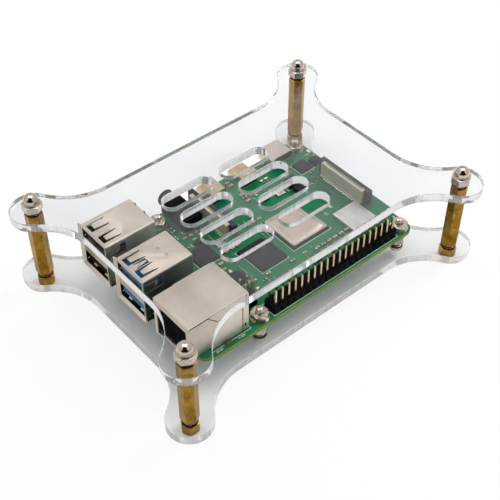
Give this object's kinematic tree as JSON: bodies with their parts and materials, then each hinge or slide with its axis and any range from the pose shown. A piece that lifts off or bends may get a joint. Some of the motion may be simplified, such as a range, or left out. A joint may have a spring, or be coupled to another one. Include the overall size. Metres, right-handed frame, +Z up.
{
  "type": "acrylic case",
  "caption": "Two clear bone-shaped plates on brass corner posts with dome nuts, holding a single-board computer with ports, pin header and flat-cable connectors.",
  "frame": {"origin": "middle of the case on the surface that its feet stand on", "axes": "+X towards the port end, +Y towards the pin header, +Z up"},
  "size_m": [0.119, 0.0872, 0.0376],
  "materials": {
    "clear_acrylic": "polished clear sheet",
    "brass": "turned",
    "nickel": "nickel plated",
    "board_green": "solder mask",
    "black_plastic": "moulded",
    "blue_plastic": "moulded",
    "sheet_steel": "nickel-plated sheet",
    "gold": "gold plated",
    "ivory_plastic": "moulded",
    "grey_plastic": "moulded",
    "chip_black": "moulded",
    "lid_metal": "satin",
    "shield_metal": "satin",
    "capacitor_tan": "fired",
    "solder_tin": "tinned",
    "light_white": "clear resin"
  },
  "bodies": {
    "case": {"base_plate": "clear_acrylic", "top_plate": "clear_acrylic", "corner_feet": "brass", "corner_standoffs": "brass", "dome_nuts": "nickel", "board_spacers": "nickel", "board_screws": "nickel", "board_nuts": "nickel", "circuit_board": "board_green", "pin_header_base": "black_plastic", "pin_header_pins": "gold", "small_header_base": "black_plastic", "small_header_pins": "gold", "black_port_shell": "sheet_steel", "black_port_dividers": "sheet_steel", "black_port_insert": "black_plastic", "black_port_contacts": "gold", "blue_port_shell": "sheet_steel", "blue_port_dividers": "sheet_steel", "blue_port_insert": "blue_plastic", "blue_port_contacts": "gold", "network_jack_shell": "sheet_steel", "network_jack_insert": "black_plastic", "network_jack_contacts": "gold", "audio_jack": "black_plastic", "video_port_shells": "gold", "video_port_tongues": "black_plastic", "power_port_shell": "sheet_steel", "power_port_tongue": "black_plastic", "display_connector_body": "ivory_plastic", "display_connector_pins": "solder_tin", "camera_connector_body": "ivory_plastic", "camera_connector_pins": "solder_tin", "processor_base": "chip_black", "processor_lid": "lid_metal", "memory_chip": "chip_black", "port_controller_chip": "chip_black", "power_chip": "chip_black", "radio_shield": "shield_metal", "network_coil": "chip_black", "card_slot": "sheet_steel", "chip_capacitors": "capacitor_tan", "chip_resistors": "chip_black", "power_inductors": "chip_black", "clock_crystals": "solder_tin", "voltage_regulators": "chip_black", "status_lights": "light_white"},
    "display_latch": {"display_connector_latch": "grey_plastic"},
    "camera_latch": {"camera_connector_latch": "grey_plastic"}
  },
  "joints": [
    {"name": "display_latch_lift", "type": "slide", "parent": "case", "child": "display_latch", "axis": [0, 0, 1], "range_m": [0, 0.001]},
    {"name": "camera_latch_lift", "type": "slide", "parent": "case", "child": "camera_latch", "axis": [0, 0, 1], "range_m": [0, 0.001]}
  ]
}
